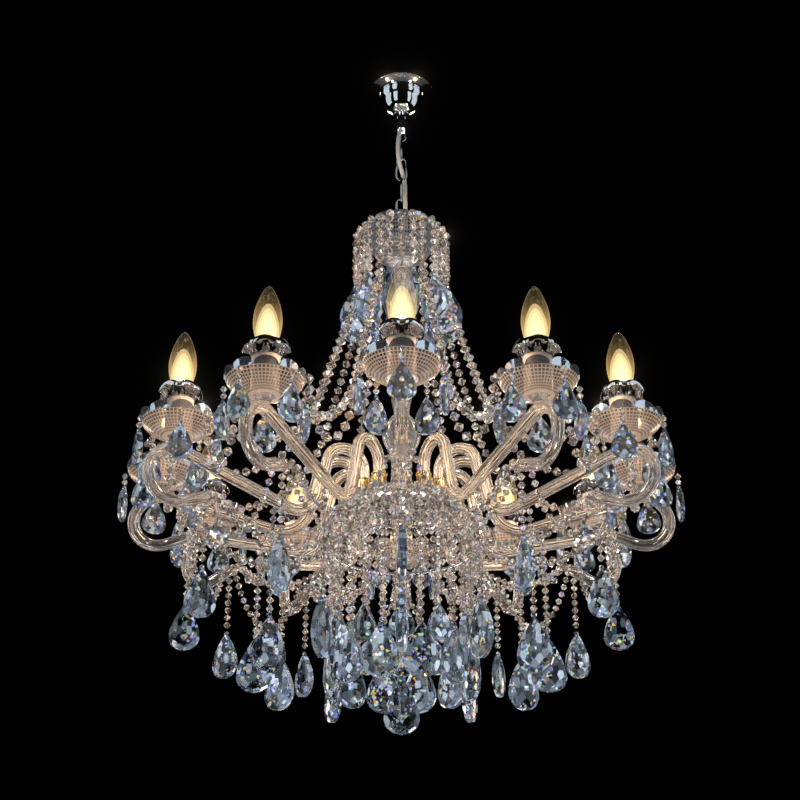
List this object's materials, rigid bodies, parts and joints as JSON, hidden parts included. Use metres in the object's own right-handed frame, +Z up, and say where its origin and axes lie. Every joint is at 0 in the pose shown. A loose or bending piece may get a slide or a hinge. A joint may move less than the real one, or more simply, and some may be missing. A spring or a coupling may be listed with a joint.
{
  "type": "crystal chandelier",
  "caption": "Ceiling chandelier of clear glass arms with candle bulbs, cut-glass drip dishes and draped bead strands, hung on a short chain.",
  "frame": {"origin": "middle of the bracket's top face, in the ceiling plane", "axes": "+Z up into the ceiling; -Y towards the first arm; +X to the right of it"},
  "size_m": [0.7578, 0.7578, 0.9817],
  "materials": {
    "chrome": "polished nickel-chrome plate",
    "zinc_steel": "zinc-plated steel",
    "dark_nickel": "dark nickel, knurled",
    "brass": "polished brass",
    "clear_glass": "clear fluted and diamond-cut glass",
    "cut_crystal": "faceted clear crystal",
    "bulb_glass": "clear candle bulb, warm light",
    "candle_white": "satin white candle tube",
    "white_plastic": "moulded white plastic",
    "cable_sheath": "silver-white cable sheath"
  },
  "bodies": {
    "ceiling": {"ceiling_bracket": "zinc_steel", "terminal_block": "white_plastic", "hanger_tube": "zinc_steel", "canopy_nuts": "dark_nickel", "canopy": "chrome", "canopy_loop": "chrome", "supply_cable": "cable_sheath"},
    "link_1": {"chain_link_1": "chrome"},
    "link_2": {"chain_link_2": "chrome"},
    "link_3": {"chain_link_3": "chrome"},
    "link_4": {"chain_link_4": "chrome"},
    "chandelier": {"top_loop": "chrome", "centre_rod": "zinc_steel", "crown_bowl": "clear_glass", "column_glass": "clear_glass", "hub_plate": "chrome", "hub_cups": "brass", "hub_cover": "chrome", "basket_ring": "brass", "lampholders": "white_plastic", "candle_sleeves": "candle_white", "bulb_collars": "chrome", "bead_strands": "cut_crystal", "crystal_drops": "cut_crystal", "arm_01": "clear_glass", "arm_02": "clear_glass", "arm_03": "clear_glass", "arm_04": "clear_glass", "arm_05": "clear_glass", "arm_06": "clear_glass", "arm_07": "clear_glass", "arm_08": "clear_glass", "arm_09": "clear_glass", "arm_10": "clear_glass", "arm_11": "clear_glass", "arm_12": "clear_glass", "drip_dish_01": "clear_glass", "drip_dish_02": "clear_glass", "drip_dish_03": "clear_glass", "drip_dish_04": "clear_glass", "drip_dish_05": "clear_glass", "drip_dish_06": "clear_glass", "drip_dish_07": "clear_glass", "drip_dish_08": "clear_glass", "drip_dish_09": "clear_glass", "drip_dish_10": "clear_glass", "drip_dish_11": "clear_glass", "drip_dish_12": "clear_glass"},
    "lamp_01": {"bulb_01": "bulb_glass"},
    "lamp_02": {"bulb_02": "bulb_glass"},
    "lamp_03": {"bulb_03": "bulb_glass"},
    "lamp_04": {"bulb_04": "bulb_glass"},
    "lamp_05": {"bulb_05": "bulb_glass"},
    "lamp_06": {"bulb_06": "bulb_glass"},
    "lamp_07": {"bulb_07": "bulb_glass"},
    "lamp_08": {"bulb_08": "bulb_glass"},
    "lamp_09": {"bulb_09": "bulb_glass"},
    "lamp_10": {"bulb_10": "bulb_glass"},
    "lamp_11": {"bulb_11": "bulb_glass"},
    "lamp_12": {"bulb_12": "bulb_glass"}
  },
  "joints": [
    {"name": "swing_1", "type": "hinge", "parent": "ceiling", "child": "link_1", "pos_m": [0, 0, -0.092], "axis": [1, 0, 0], "range_deg": [-18, 18], "deforming": ["supply_cable"]},
    {"name": "swing_2", "type": "hinge", "parent": "link_1", "child": "link_2", "pos_m": [0, 0, -0.1271], "axis": [0, 1, 0], "range_deg": [-18, 18], "deforming": ["supply_cable"]},
    {"name": "swing_3", "type": "hinge", "parent": "link_2", "child": "link_3", "pos_m": [0, 0, -0.1623], "axis": [1, 0, 0], "range_deg": [-18, 18], "deforming": ["supply_cable"]},
    {"name": "swing_4", "type": "hinge", "parent": "link_3", "child": "link_4", "pos_m": [0, 0, -0.1975], "axis": [0, 1, 0], "range_deg": [-18, 18], "deforming": ["supply_cable"]},
    {"name": "swing_5", "type": "hinge", "parent": "link_4", "child": "chandelier", "pos_m": [0, 0, -0.2327], "axis": [1, 0, 0], "range_deg": [-18, 18], "deforming": ["supply_cable"]},
    {"name": "bulb_lift_01", "type": "slide", "parent": "chandelier", "child": "lamp_01", "axis": [0, 0, 1], "range_m": [0, 0.03]},
    {"name": "bulb_lift_02", "type": "slide", "parent": "chandelier", "child": "lamp_02", "axis": [0, 0, 1], "range_m": [0, 0.03]},
    {"name": "bulb_lift_03", "type": "slide", "parent": "chandelier", "child": "lamp_03", "axis": [0, 0, 1], "range_m": [0, 0.03]},
    {"name": "bulb_lift_04", "type": "slide", "parent": "chandelier", "child": "lamp_04", "axis": [0, 0, 1], "range_m": [0, 0.03]},
    {"name": "bulb_lift_05", "type": "slide", "parent": "chandelier", "child": "lamp_05", "axis": [0, 0, 1], "range_m": [0, 0.03]},
    {"name": "bulb_lift_06", "type": "slide", "parent": "chandelier", "child": "lamp_06", "axis": [0, 0, 1], "range_m": [0, 0.03]},
    {"name": "bulb_lift_07", "type": "slide", "parent": "chandelier", "child": "lamp_07", "axis": [0, 0, 1], "range_m": [0, 0.03]},
    {"name": "bulb_lift_08", "type": "slide", "parent": "chandelier", "child": "lamp_08", "axis": [0, 0, 1], "range_m": [0, 0.03]},
    {"name": "bulb_lift_09", "type": "slide", "parent": "chandelier", "child": "lamp_09", "axis": [0, 0, 1], "range_m": [0, 0.03]},
    {"name": "bulb_lift_10", "type": "slide", "parent": "chandelier", "child": "lamp_10", "axis": [0, 0, 1], "range_m": [0, 0.03]},
    {"name": "bulb_lift_11", "type": "slide", "parent": "chandelier", "child": "lamp_11", "axis": [0, 0, 1], "range_m": [0, 0.03]},
    {"name": "bulb_lift_12", "type": "slide", "parent": "chandelier", "child": "lamp_12", "axis": [0, 0, 1], "range_m": [0, 0.03]}
  ]
}
